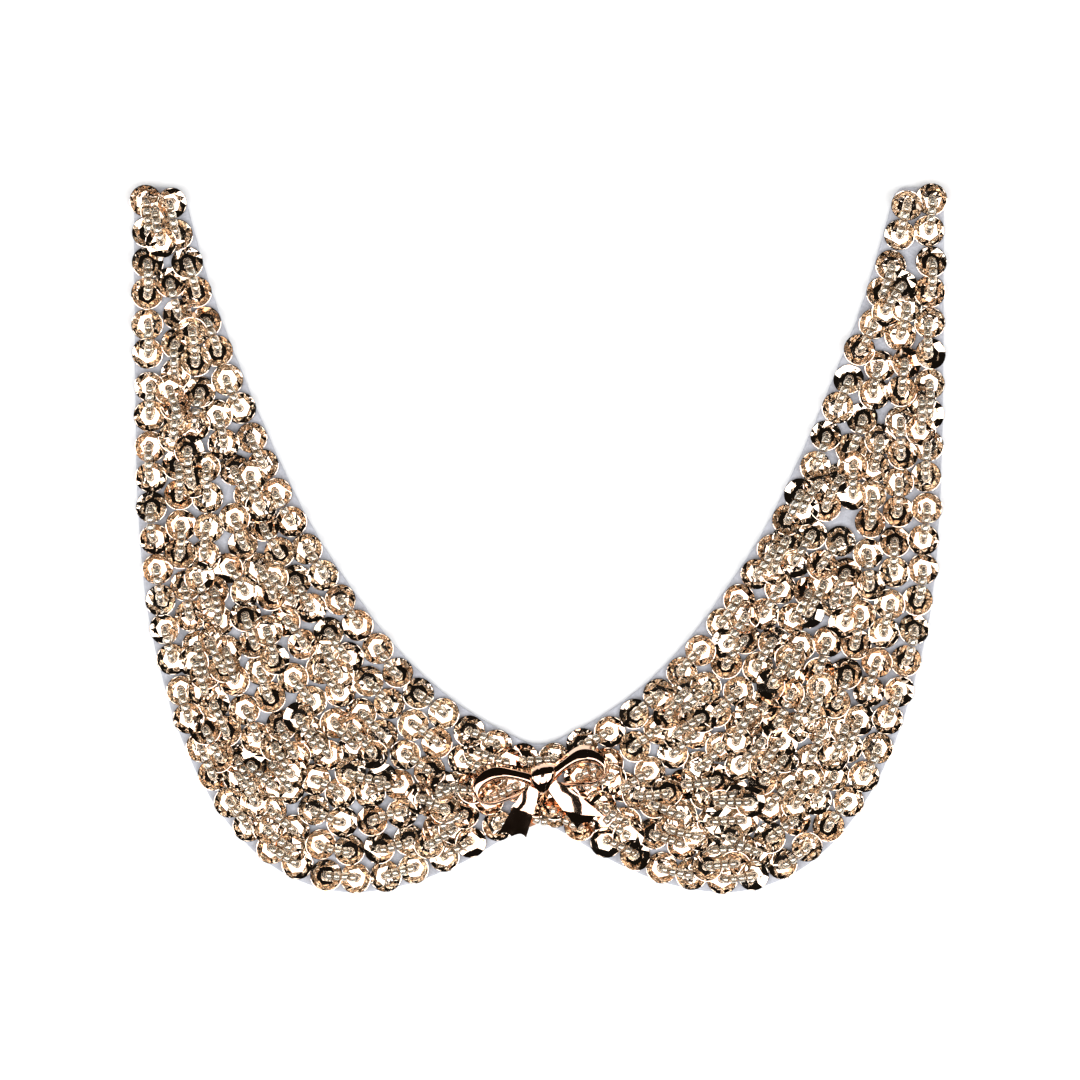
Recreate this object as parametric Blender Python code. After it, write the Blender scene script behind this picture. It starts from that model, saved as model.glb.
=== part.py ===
"""Flat two-lobed sequin collar with a cast bow charm, laid out on a table with its neckline towards +Y.

The felt is cut in one piece: a strip that runs from one square end, round the lobe, through the narrow
centre front and back up the other side. It lies flat, so its underside is the plane z = 0. The charm sits
over the centre front and is sewn down through the foot behind its knot. Lengths are in metres, and the
tables of sections are in millimetres.
"""

import math

import bmesh
import bpy
import numpy as np
from mathutils import Matrix, Vector

MM = 0.001
SEAM_GAP = 0.3 * MM

# The felt
FELT_THICKNESS = 2.0 * MM
EDGE_DROP = 0.5 * MM  # how far the raw edge is pressed below the face
END_CORNER_RADIUS = 2.0 * MM
STEPS_PER_SECTION = 4
CELLS_BETWEEN_EDGES = 7

# Sections of one half of the strip, from the centre front to the square end.
# Each row joins a point of the neckline to the point of the outer edge that it faces.
STRIP_COLUMNS = ("neck_x", "neck_y", "outer_x", "outer_y")
STRIP_ROWS = (
    (0.0, -52.4, 0.0, -71.8),
    (9.4, -48.8, 8.0, -76.0),
    (19.4, -42.9, 21.0, -83.4),
    (29.0, -35.3, 35.5, -88.8),
    (38.2, -25.6, 51.5, -90.2),
    (46.9, -14.0, 67.5, -84.3),
    (54.2, -3.2, 81.0, -71.0),
    (60.2, 7.2, 90.6, -53.6),
    (65.7, 18.6, 96.8, -34.8),
    (71.6, 32.0, 101.0, -14.5),
    (77.5, 46.4, 102.9, 9.0),
    (82.7, 60.0, 103.6, 34.0),
    (87.2, 74.5, 103.9, 64.0),
    (91.6, 90.4, 103.9, 90.4),
)

# The bow charm, one casting. In its own frame the knot's centre is the origin and +Y is the bow's top.
BOW_CENTRE_X = 1.0 * MM
BOW_CENTRE_Y = -61.0 * MM
BOW_BACK = 5.8 * MM  # the charm's back rides on the beads and sequins, this far above the table
BOW_TILT = math.radians(11.7)
SEWING_FOOT_RADIUS = 1.4 * MM
FUSED_DEPTH = 0.2 * MM  # how far the casting's parts run into each other

# Sections round the right loop, clockwise from the knot: the band's outer edge, the hole, and its crest.
LOOP_COLUMNS = ("outer_x", "outer_y", "hole_x", "hole_y", "crest")
LOOP_ROWS = (
    (1.6, 1.6, 3.2, -1.2, 2.2),
    (6.4, 4.3, 6.6, 0.9, 2.8),
    (11.2, 6.3, 10.6, 1.8, 3.0),
    (15.4, 5.2, 14.2, 1.1, 2.9),
    (17.9, 1.9, 16.2, -0.7, 2.5),
    (17.3, -1.9, 15.8, -2.4, 2.1),
    (14.4, -4.1, 13.8, -3.1, 1.8),
    (10.0, -3.9, 10.0, -2.8, 1.6),
    (6.0, -3.1, 6.4, -2.1, 1.6),
    (1.6, -2.4, 3.6, -1.6, 1.8),
)
STEPS_PER_LOOP_SECTION = 5
LOOP_REACH_LEFT = 1.03  # each loop's length, as a share of the table's
LOOP_REACH_RIGHT = 0.95
# The band's rise from the hole's edge, at 0, over its crest and down to its outer edge, at 1
BAND_PROFILE = (
    # across, share of the crest's height
    (0.0, 0.70),
    (0.07, 0.94),
    (0.2, 1.0),
    (0.42, 0.90),
    (0.65, 0.66),
    (0.85, 0.38),
    (1.0, 0.14),
)

KNOT_HALF_WIDTH_TOP = 3.1 * MM
KNOT_HALF_WIDTH_FOOT = 1.9 * MM
KNOT_HALF_HEIGHT = 3.8 * MM
KNOT_CREST = 3.9 * MM
KNOT_RIM = 0.8 * MM
KNOT_LEAN = 0.6 * MM  # how far its top leans towards the right loop
KNOT_CORNER_ROUNDING = 0.12
KNOT_SQUARENESS = 2.6  # the power of its domed profile from top to foot: 2 is a half round
KNOT_SIDE_DROP = 0.4  # how far its sides lie below its middle, as a share of the crest
KNOT_PLEATS = 3
PLEAT_DEPTH = 0.3 * MM
KNOT_CELLS = 18

# The tails, ribbon ends that run out from under the knot. The left one is drawn on the right and mirrored.
TAIL_ROOT = Vector((2.0, -1.8)) * MM
TAIL_END_LEFT = Vector((10.8, -12.8)) * MM
TAIL_END_RIGHT = Vector((9.7, -13.5)) * MM
TAIL_ROOT_WIDTH = 2.6 * MM
TAIL_END_WIDTH = 7.0 * MM
TAIL_THICKNESS = 0.9 * MM
TAIL_WAVE = 1.2 * MM
TAIL_RIDGE = 0.4 * MM
TAIL_FLARE = 0.6  # below 1 the tail widens early
TAIL_END_SKEW = 0.35  # the outer corner of the end reaches further than the inner one
TAIL_SCALLOPS = 2
TAIL_SCALLOP_DEPTH = 0.9 * MM
TAIL_CELLS = 14

FELT_COLOUR = (0.46, 0.47, 0.53, 1.0)
ROSE_GOLD_COLOUR = (0.80, 0.52, 0.38, 1.0)


def clear_scene():
    for obj in list(bpy.data.objects):
        bpy.data.objects.remove(obj)


def make_material(name, colour, roughness, metallic):
    material = bpy.data.materials.new(name)
    material.use_nodes = True
    shader = material.node_tree.nodes["Principled BSDF"]
    shader.inputs["Base Color"].default_value = colour
    shader.inputs["Roughness"].default_value = roughness
    shader.inputs["Metallic"].default_value = metallic
    return material


def make_object(name, shape, material, collection):
    """An object from a bmesh, with its faces pointing out."""
    bmesh.ops.recalc_face_normals(shape, faces=shape.faces)
    mesh = bpy.data.meshes.new(name)
    shape.to_mesh(mesh)
    shape.free()
    mesh.materials.append(material)
    mesh.shade_smooth()
    mesh.set_sharp_from_angle(angle=math.radians(40))
    obj = bpy.data.objects.new(name, mesh)
    collection.objects.link(obj)
    return obj


def columns_of(names, rows):
    """A table of millimetres as one array of metres for each named column."""
    return {name: column * MM for name, column in zip(names, np.array(rows).T)}


def smooth_run(a, b, c, d, steps):
    """Points of a Catmull-Rom curve from b up to c, without c."""
    t = (np.arange(steps) / steps)[:, None]
    return 0.5 * (2 * b + (c - a) * t + (2 * a - 5 * b + 4 * c - d) * t**2 + (3 * b - a - 3 * c + d) * t**3)


def smooth_line(points, before, steps):
    """A smooth line through points, which leaves the first one as if it came from before."""
    full = np.vstack([before, points, 2 * points[-1] - points[-2]])
    runs = [smooth_run(*full[k : k + 4], steps) for k in range(len(points) - 1)]
    return np.vstack(runs + [points[-1:]])


def smooth_ring(points, steps):
    """A smooth closed line through points."""
    full = np.vstack([points[-1:], points, points[:2]])
    return np.vstack([smooth_run(*full[k : k + 4], steps) for k in range(len(points))])


def rounding(distance, radius):
    """How far a quarter round of this radius lies below its top, at this distance from its edge."""
    inside = np.clip(1 - distance / radius, 0, 1)
    return radius * (1 - np.sqrt(1 - inside**2))


def sheet_shape(top, underside):
    """A closed shape between rows of top points and the same rows at the height underside(point)."""
    shape = bmesh.new()
    rows = [[shape.verts.new(point) for point in line] for line in top]
    for row, following in zip(rows, rows[1:]):
        for k in range(len(row) - 1):
            shape.faces.new((row[k], row[k + 1], following[k + 1], following[k]))
    copied = bmesh.ops.extrude_face_region(shape, geom=shape.faces[:])
    for item in copied["geom"]:
        if isinstance(item, bmesh.types.BMVert):
            item.co.z = underside(item.co)
    return shape


def build_felt(material, collection):
    """The felt: the right half's lines from neckline to outer edge, and their mirror images."""
    strip = columns_of(STRIP_COLUMNS, STRIP_ROWS)
    neck = np.column_stack([strip["neck_x"], strip["neck_y"]])
    outer = np.column_stack([strip["outer_x"], strip["outer_y"]])
    # The neckline is smooth across the centre front, and the outer edge meets its mirror image in a notch.
    neck_line = smooth_line(neck, neck[1] * (-1, 1), STEPS_PER_SECTION)
    outer_line = smooth_line(outer, 2 * outer[0] - outer[1], STEPS_PER_SECTION)
    between = 0.5 - 0.5 * np.cos(math.pi * np.arange(CELLS_BETWEEN_EDGES + 1) / CELLS_BETWEEN_EDGES)
    right = []
    for start, finish in zip(neck_line, outer_line):
        width = np.linalg.norm(finish - start)
        across = np.hstack([0, EDGE_DROP + between * (width - 2 * EDGE_DROP), width])
        points = start + across[:, None] * (finish - start) / width
        from_edge = np.minimum(across, width - across)
        height = FELT_THICKNESS - rounding(from_edge, EDGE_DROP)
        right.append(np.column_stack([points, height]))
    right[-1][:, 1] -= rounding(from_edge, END_CORNER_RADIUS)
    left = [line * (-1, 1, 1) for line in right[:0:-1]]
    return make_object("collar_felt", sheet_shape(left + right, lambda point: 0.0), material, collection)


def loop_shape(reach):
    """A bow loop: a domed band swept round its teardrop hole, wide above it and narrow below.

    reach is the loop's length as a share of the table's, and is negative for the left loop.
    """
    profile = [(0.0, 0.0), *BAND_PROFILE, (1.0, 0.0)]
    shape = bmesh.new()
    rings = []
    for section in smooth_ring(np.array(LOOP_ROWS) * MM, STEPS_PER_LOOP_SECTION):
        at = dict(zip(LOOP_COLUMNS, section))
        hole = Vector((at["hole_x"], at["hole_y"]))
        outer = Vector((at["outer_x"], at["outer_y"]))
        ring = []
        for across, share in profile:
            place = hole.lerp(outer, across)
            ring.append(shape.verts.new((reach * place.x, place.y, at["crest"] * share)))
        rings.append(ring)
    for ring, following in zip(rings, rings[1:] + rings[:1]):
        for k in range(len(ring)):
            after = (k + 1) % len(ring)
            shape.faces.new((ring[k], ring[after], following[after], following[k]))
    return shape


def tail_shape(side, end):
    """A tail: a thin ribbon end that flares, waves along its length and is scalloped at its end."""
    axis = (end - TAIL_ROOT).normalized()
    sideways = Vector((-axis.y, axis.x))
    length = (end - TAIL_ROOT).length
    top = []
    for along in np.linspace(0, 1, TAIL_CELLS + 1):
        half_width = (TAIL_ROOT_WIDTH + (TAIL_END_WIDTH - TAIL_ROOT_WIDTH) * along**TAIL_FLARE) / 2
        skew = TAIL_END_SKEW * half_width * along**2
        scallop_depth = TAIL_SCALLOP_DEPTH * along**6  # only the end is scalloped
        line = []
        for across in np.linspace(-1, 1, TAIL_CELLS + 1):
            scallop = scallop_depth * abs(math.sin(math.pi * TAIL_SCALLOPS * (across + 1) / 2))
            reach = length * along + skew * across - scallop
            place = TAIL_ROOT + axis * reach + sideways * (half_width * across)
            rise = TAIL_WAVE * math.sin(math.pi * along) ** 2 + TAIL_RIDGE * (1 - abs(across))
            line.append((side * place.x, place.y, FUSED_DEPTH + TAIL_THICKNESS + rise))
        top.append(line)
    return sheet_shape(top, lambda point: point.z - TAIL_THICKNESS)


def knot_shape():
    """The knot: a pleated pad that wraps over the middle of the bow and narrows towards its foot."""
    top = []
    for up in np.linspace(-1, 1, KNOT_CELLS + 1):
        half_width = KNOT_HALF_WIDTH_FOOT + (KNOT_HALF_WIDTH_TOP - KNOT_HALF_WIDTH_FOOT) * (up + 1) / 2
        line = []
        for across in np.linspace(-1, 1, KNOT_CELLS + 1):
            dome = math.sqrt(1 - abs(up) ** KNOT_SQUARENESS) * (1 - KNOT_SIDE_DROP * across**4)
            crease = 0.5 + 0.5 * math.cos(math.pi * KNOT_PLEATS * (across + 1))
            height = KNOT_RIM + (KNOT_CREST - KNOT_RIM - PLEAT_DEPTH * crease) * dome
            x = half_width * across + KNOT_LEAN * up
            y = KNOT_HALF_HEIGHT * up * (1 - KNOT_CORNER_ROUNDING * across**2)
            line.append((x, y, height))
        top.append(line)
    return sheet_shape(top, lambda point: -FUSED_DEPTH)


def sewing_foot_shape():
    """The foot behind the knot, which the charm is sewn down through."""
    foot_end = SEAM_GAP + FELT_THICKNESS - BOW_BACK
    shape = bmesh.new()
    bmesh.ops.create_cone(
        shape,
        cap_ends=True,
        segments=24,
        radius1=SEWING_FOOT_RADIUS,
        radius2=SEWING_FOOT_RADIUS,
        depth=FUSED_DEPTH - foot_end,
        matrix=Matrix.Translation((0, 0, (FUSED_DEPTH + foot_end) / 2)),
    )
    return shape


def build_bow(material, collection, joined_collection):
    """The charm: the knot, with the loops, the tails and the sewing foot cast onto it."""
    bow = make_object("bow_charm", knot_shape(), material, collection)
    bow.location = (BOW_CENTRE_X, BOW_CENTRE_Y, BOW_BACK)
    bow.rotation_euler.z = BOW_TILT
    cast_on = {
        "sewing_foot": sewing_foot_shape(),
        "tail_left": tail_shape(-1, TAIL_END_LEFT),
        "tail_right": tail_shape(1, TAIL_END_RIGHT),
        "loop_left": loop_shape(-LOOP_REACH_LEFT),
        "loop_right": loop_shape(LOOP_REACH_RIGHT),
    }
    for name, shape in cast_on.items():
        piece = make_object(name, shape, material, joined_collection)
        piece.parent = bow
        piece.hide_render = True
        piece.display_type = "WIRE"
        join = bow.modifiers.new(f"join {name}", "BOOLEAN")
        join.operation = "UNION"
        join.solver = "EXACT"
        join.object = piece
    return bow


def build_collar():
    clear_scene()
    collection = bpy.data.collections.new("sequin_collar")
    joined_collection = bpy.data.collections.new("joined_pieces")
    bpy.context.scene.collection.children.link(collection)
    bpy.context.scene.collection.children.link(joined_collection)
    felt = make_material("felt", FELT_COLOUR, 0.95, 0.0)
    rose_gold = make_material("rose_gold", ROSE_GOLD_COLOUR, 0.12, 1.0)
    build_felt(felt, collection)
    build_bow(rose_gold, collection, joined_collection)


build_collar()
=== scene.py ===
import math

import bmesh
import bpy
import numpy as np
from mathutils import Matrix, Vector


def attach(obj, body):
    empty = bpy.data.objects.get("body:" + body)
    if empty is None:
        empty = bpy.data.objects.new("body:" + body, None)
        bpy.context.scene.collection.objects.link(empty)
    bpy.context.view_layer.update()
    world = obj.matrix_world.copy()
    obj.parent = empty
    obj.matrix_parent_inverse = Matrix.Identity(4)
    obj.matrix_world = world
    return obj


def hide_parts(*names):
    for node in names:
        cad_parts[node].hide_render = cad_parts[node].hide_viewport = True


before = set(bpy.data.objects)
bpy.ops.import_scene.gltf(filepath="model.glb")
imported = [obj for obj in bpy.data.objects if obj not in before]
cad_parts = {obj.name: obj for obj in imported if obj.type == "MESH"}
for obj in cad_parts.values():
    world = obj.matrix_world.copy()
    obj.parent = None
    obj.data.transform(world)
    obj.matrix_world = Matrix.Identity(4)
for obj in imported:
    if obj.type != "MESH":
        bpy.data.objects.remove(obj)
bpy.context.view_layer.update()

MM = 0.001

# Collar felt.
# One strip of pressed wool felt, 2 mm thick, cut with raw edges and square ends, pale lilac grey.
# It is laid flat on the table and carries everything else.
FELT_THICKNESS = 2.0 * MM
FELT_EDGE_ROUND = 0.5 * MM
FELT_CORNER_RADIUS = 2.0 * MM
FELT_RIM_PLACES = np.array((0.0, 0.3, 1.0))  # across the rounded edge, as shares of its radius
FELT_STEPS = 10
FELT_CELLS = 22
FELT_SHARP_ANGLE = math.radians(60)
FELT_EDGE_WANDER = 0.12 * MM  # how far the scissors strayed from the line
FELT_FACE_WAVE = 0.12 * MM
WANDER_WAVES = ((210, 130, 1.1), (530, -310, 0.0), (977, 720, 0.0))  # radians a metre each way, and a start

# Sections of one half of the strip, from the centre front to the square end.
# Each row joins a point of the neckline to the point of the outer edge that it faces, in millimetres.
STRIP_COLUMNS = ("neck_x", "neck_y", "outer_x", "outer_y")
STRIP_ROWS = (
    (0.0, -52.4, 0.0, -71.8),
    (9.4, -48.8, 8.0, -76.0),
    (19.4, -42.9, 21.0, -83.4),
    (29.0, -35.3, 35.5, -88.8),
    (38.2, -25.6, 51.5, -90.2),
    (46.9, -14.0, 67.5, -84.3),
    (54.2, -3.2, 81.0, -71.0),
    (60.2, 7.2, 90.6, -53.6),
    (65.7, 18.6, 96.8, -34.8),
    (71.6, 32.0, 101.0, -14.5),
    (77.5, 46.4, 102.9, 9.0),
    (82.7, 60.0, 103.6, 34.0),
    (87.2, 74.5, 103.9, 64.0),
    (91.6, 90.4, 103.9, 90.4),
)


def smooth_line(points, before, steps):
    """A smooth line (Catmull-Rom) through points, which leaves the first one as if it came from before."""
    full = np.vstack([before, points, 2 * points[-1] - points[-2]])
    t = (np.arange(steps) / steps)[:, None]
    runs = []
    for k in range(len(points) - 1):
        a, b, c, d = full[k : k + 4]
        runs.append(
            0.5 * (2 * b + (c - a) * t + (2 * a - 5 * b + 4 * c - d) * t**2 + (3 * b - a - 3 * c + d) * t**3)
        )
    return np.vstack(runs + [points[-1:]])


def strip_edges(steps):
    """The neckline and the outer edge of the right half, from the centre front to the square end."""
    strip = dict(zip(STRIP_COLUMNS, np.array(STRIP_ROWS).T * MM))
    neck = np.column_stack([strip["neck_x"], strip["neck_y"]])
    outer = np.column_stack([strip["outer_x"], strip["outer_y"]])
    return smooth_line(neck, neck[1] * (-1, 1), steps), smooth_line(outer, 2 * outer[0] - outer[1], steps)


def rounding(distance, radius):
    """How far a quarter round of this radius lies below its top, at this distance from its edge."""
    inside = np.clip(1 - distance / radius, 0, 1)
    return radius * (1 - np.sqrt(1 - inside**2))


def wander(along, across):
    """A slow, uneven drift between -1 and 1, for cut edges and for the face of the felt."""
    return sum(np.sin(along * a + across * b + start) for a, b, start in WANDER_WAVES) / len(WANDER_WAVES)


def pad_between(shape, rows, underside):
    """Closes rows of top points, and the same rows set at the height underside(point), into a pad."""
    made = [[shape.verts.new(point) for point in row] for row in rows]
    top = []
    for row, following in zip(made, made[1:]):
        for k in range(len(row) - 1):
            top.append(shape.faces.new((row[k], row[k + 1], following[k + 1], following[k])))
    for item in bmesh.ops.extrude_face_region(shape, geom=top)["geom"]:
        if isinstance(item, bmesh.types.BMVert):
            item.co.z = underside(item.co)


def made_object(shape, name):
    """An object with the finished shape as its mesh."""
    mesh = bpy.data.meshes.new(name)
    shape.to_mesh(mesh)
    shape.free()
    return bpy.data.objects.new(name, mesh)


def cut_felt():
    """The felt strip, in lines from the neckline to the outer edge, with rounded edges and end corners."""
    neck, outer = strip_edges(FELT_STEPS)
    between = 0.5 - 0.5 * np.cos(math.pi * np.arange(FELT_CELLS + 1) / FELT_CELLS)
    lines = []
    for k, (start, finish) in enumerate(zip(neck, outer)):
        width = np.linalg.norm(finish - start)
        heading = (finish - start) / width
        rim = FELT_EDGE_ROUND * FELT_RIM_PLACES
        across = np.hstack([rim[:2], rim[2] + between * (width - 2 * rim[2]), width - rim[1::-1]])
        points = start + across[:, None] * heading
        from_edge = np.minimum(across, width - across)
        height = FELT_THICKNESS - rounding(from_edge, FELT_EDGE_ROUND)
        if k == len(neck) - 1:
            points[:, 1] -= rounding(from_edge, FELT_CORNER_RADIUS)
        lines.append(np.column_stack([points, height]))
    lines = [line * (-1, 1, 1) for line in lines[:0:-1]] + lines
    rows = []
    for line in lines:
        row = []
        for x, y, z in line:
            drift = FELT_EDGE_WANDER * wander(x + y, x - y)
            dip = FELT_FACE_WAVE * abs(wander(y, x))
            row.append((x + drift, y, z - dip))
        rows.append(row)
    shape = bmesh.new()
    pad_between(shape, rows, lambda point: 0.0)
    bmesh.ops.recalc_face_normals(shape, faces=shape.faces)
    felt = made_object(shape, "felt_strip")
    felt.data.shade_smooth()
    felt.data.set_sharp_from_angle(angle=FELT_SHARP_ANGLE)
    bpy.context.collection.objects.link(felt)
    return felt


def plug_in(tree, socket, value):
    """Links a strand to a socket, or sets the socket to a plain value."""
    if isinstance(value, Strand):
        tree.links.new(value.socket, socket)
    else:
        socket.default_value = value


class Strand:
    """A value that runs through a material's nodes and can be reckoned with like a Python number."""

    def __init__(self, tree, socket):
        self.tree = tree
        self.socket = socket

    def reckon(self, operation, first, second):
        """Adds the Math node for one operation."""
        node = self.tree.nodes.new("ShaderNodeMath")
        node.operation = operation
        for socket, value in zip(node.inputs, (first, second)):
            plug_in(self.tree, socket, value)
        return Strand(self.tree, node.outputs[0])

    def __add__(self, other):
        return self.reckon("ADD", self, other)

    def __radd__(self, other):
        return self.reckon("ADD", other, self)

    def __sub__(self, other):
        return self.reckon("SUBTRACT", self, other)

    def __rsub__(self, other):
        return self.reckon("SUBTRACT", other, self)

    def __mul__(self, other):
        return self.reckon("MULTIPLY", self, other)

    def __rmul__(self, other):
        return self.reckon("MULTIPLY", other, self)


class Finish:
    """A material, built up from a Principled shader."""

    def __init__(self, name, **constants):
        self.material = bpy.data.materials.new(name)
        self.material.use_nodes = True
        self.tree = self.material.node_tree
        self.shader = self.tree.nodes["Principled BSDF"]
        for socket, value in constants.items():
            self.shader.inputs[socket.replace("_", " ")].default_value = value

    def node(self, kind, settings=None, output=0, numbered=None, **values):
        """Adds a node: its settings first, then values or links for sockets, by name or by number."""
        node = self.tree.nodes.new(kind)
        for name, value in (settings or {}).items():
            setattr(node, name, value)
        for name, value in values.items():
            plug_in(self.tree, node.inputs[name.replace("_", " ")], value)
        for place, value in (numbered or {}).items():
            plug_in(self.tree, node.inputs[place], value)
        return Strand(self.tree, node.outputs[output])

    def blend(self, share, first, second):
        """A colour between two, by a share from 0 to 1."""
        colour_sockets = {0: share, 6: first, 7: second}  # by number, because the Mix node's names repeat
        return self.node("ShaderNodeMix", {"data_type": "RGBA"}, output=2, numbered=colour_sockets)

    def feed(self, socket, strand):
        """Links a strand to one of the shader's sockets."""
        self.tree.links.new(strand.socket, self.shader.inputs[socket])


FELT_LIGHT = (0.57, 0.58, 0.64, 1)
FELT_DARK = (0.38, 0.39, 0.433, 1)
FIBRE_TURNS = (0.3, 1.4, 2.5)
FIBRE_STRETCH = 4
FIBRE_SCALE = 1500
CLOUD_SCALE = 90
FLECK_GAIN = 8  # brings the product of three noises, each about a half, back to about 1
FLECK_SHARE = 0.6
CLOUD_SHARE = 0.5
SHADE_DROP = 0.2
FLECK_BUMP = 0.3 * MM


def felt_finish():
    """Pressed felt: fibres that lie every way, in light and dark flecks, with a soft nap."""
    felt = Finish("pressed felt", Roughness=0.95, Sheen_Weight=0.3, Sheen_Roughness=0.6)
    place = felt.node("ShaderNodeTexCoord", output="Object")
    fibres = []
    for turn in FIBRE_TURNS:
        laid = felt.node(
            "ShaderNodeMapping",
            {"vector_type": "TEXTURE"},
            Vector=place,
            Rotation=(0, 0, turn),
            Scale=(FIBRE_STRETCH, 1, 1),
        )
        fibre = felt.node("ShaderNodeTexNoise", Vector=laid, Scale=FIBRE_SCALE, Detail=3, Roughness=0.6)
        fibres.append(fibre)
    fleck = fibres[0] * fibres[1] * fibres[2] * FLECK_GAIN
    cloud = felt.node("ShaderNodeTexNoise", Vector=place, Scale=CLOUD_SCALE, Detail=2)
    shade = felt.node("ShaderNodeClamp", Value=fleck * FLECK_SHARE + cloud * CLOUD_SHARE - SHADE_DROP)
    felt.feed("Base Color", felt.blend(shade, FELT_DARK, FELT_LIGHT))
    felt.feed("Normal", felt.node("ShaderNodeBump", Height=fleck, Strength=0.5, Distance=FLECK_BUMP))
    return felt.material


felt_strip = cut_felt()
felt_strip.data.materials.append(felt_finish())
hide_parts("collar_felt")
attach(felt_strip, "root")

# Cup sequins.
# Round cups 8 mm across, stamped from mirror film in champagne gold, with a flat six-sided bottom and a hole.
# They are sewn down in pairs: rows that follow both edges of the felt, pairs squeezed into the gaps where
# those rows meet, and more pairs on top of them.
SEQUIN_RADIUS = 4.05 * MM
SEQUIN_LIP = 0.13 * MM
SEQUIN_LIP_DROP = 0.05 * MM
SEQUIN_BOTTOM_RADIUS = 2.55 * MM
SEQUIN_DEPTH = 0.92 * MM
SEQUIN_DISH = 0.06 * MM
SEQUIN_HOLE_RADIUS = 0.6 * MM
SEQUIN_FILM = 0.12 * MM
SEQUIN_SIDES = 6
RIM_CORNERS_PER_SIDE = 4
SEQUIN_SIZES = (0.98, 1.02)
SEQUIN_SIZE_SEED = 3
SEWING_SEED = 9
SEWING_STEPS = 12
OUTER_ROW_INSET = 3.7 * MM
NECK_ROW_INSET = 4.2 * MM
END_INSET = 3.4 * MM
ROW_PITCH = 7.85 * MM
ROW_SPACING = 7.1 * MM
ROWS_FROM_EACH_EDGE = 4
ROW_SHIFTS = (0.2, 1.8)  # how far along a row starts, in sequins
INSET_KEPT = 0.97  # a row's points that are nearer to its edge than this share of its inset are left out
PAST_THE_MIDDLE = 3 * MM  # how much farther from its own edge than from the other a row's sequin may lie
EDGE_ROW_STRAY = 0.35 * MM
CLOSEST_TO_EDGE_ROW = 5.0 * MM
CLOSEST_IN_ROWS = 6.1 * MM
CLOSEST_IN_GAPS = 4.9 * MM
CLOSEST_ON_TOP = 3.5 * MM
PAIRS_ON_TOP = 49
ON_TOP_INSET = 5.8 * MM
# The last of the pairs on top, in millimetres. Three cover the felt beside the bow, as in the photo, and the
# last one lies at the centre front.
FRONT_PAIRS = np.array(
    (
        ((12.4, -63.8), (18.6, -61.0)),
        ((17.4, -71.4), (22.8, -75.6)),
        ((-24.0, -68.8), (-30.4, -66.2)),
        ((-1.2, -67.3), (3.6, -68.3)),
    )
) * MM
PAIR_LENGTH = (7.3 * MM, 8.5 * MM)
PAIR_TURN = math.radians(16)
PLACES_TRIED = 5000
CLEAR_OF_SQUARE_END = 1.7 * SEQUIN_RADIUS
COMFORTABLE_APART = 7.3 * MM
SETTLING_ROUNDS = 14
PUSH_PER_ROUND = 0.2
EDGE_ROW_GIVE = 0.12  # how far a push moves the edge rows, where it moves the others fully
LIFT_PER_OVERLAP = 1.5
LEAN_PER_OVERLAP = 0.85
LOOSE_TILT = math.radians(7)
STEEPEST_TILT = math.radians(28)
BOW_CENTRE = np.array((1.0, -61.0)) * MM
CLEAR_OF_BOW_FOOT = 5.6 * MM


def whole_line(half):
    """Both halves of an edge, from the left square end to the right one."""
    return np.vstack([half[:0:-1] * (-1, 1), half])


def directions(line):
    """Which way a line runs at each of its points."""
    run = np.gradient(line, axis=0)
    return run / np.linalg.norm(run, axis=1)[:, None]


def beside(line, places):
    """Each place's distance from a line, the line's point nearest to it and the line's direction there."""
    apart = np.linalg.norm(places[:, None] - line[None], axis=2)
    nearest = apart.argmin(axis=1)
    return apart[np.arange(len(places)), nearest], line[nearest], directions(line)[nearest]


def row_of_pairs(line, inset, phase):
    """Pairs end to end along a row that keeps its distance from an edge of the felt."""
    run = directions(line)
    row = line + inset * np.column_stack([-run[:, 1], run[:, 0]])
    row = row[beside(line, row)[0] > INSET_KEPT * abs(inset)]
    length = np.hstack([0, np.cumsum(np.linalg.norm(np.diff(row, axis=0), axis=1))])
    usable = length[-1] - 2 * END_INSET
    count = int(round((usable / ROW_PITCH + 1) / 2)) * 2
    at = END_INSET + usable / (count - 1) * (np.arange(count - 2 * (phase > 0)) + phase)
    places = np.column_stack([np.interp(at, length, row[:, k]) for k in (0, 1)])
    return places.reshape(-1, 2, 2)


def room_round(pairs, sewn):
    """How far the nearest sewn sequin is from either end of each pair."""
    return np.linalg.norm(pairs[:, :, None] - sewn.reshape(-1, 2)[None, None], axis=3).min(axis=(1, 2))


def off_bow_foot(pairs):
    """Which pairs leave room for the foot that the bow is sewn down by."""
    return np.linalg.norm(pairs - BOW_CENTRE, axis=2).min(axis=1) > CLEAR_OF_BOW_FOOT


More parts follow.
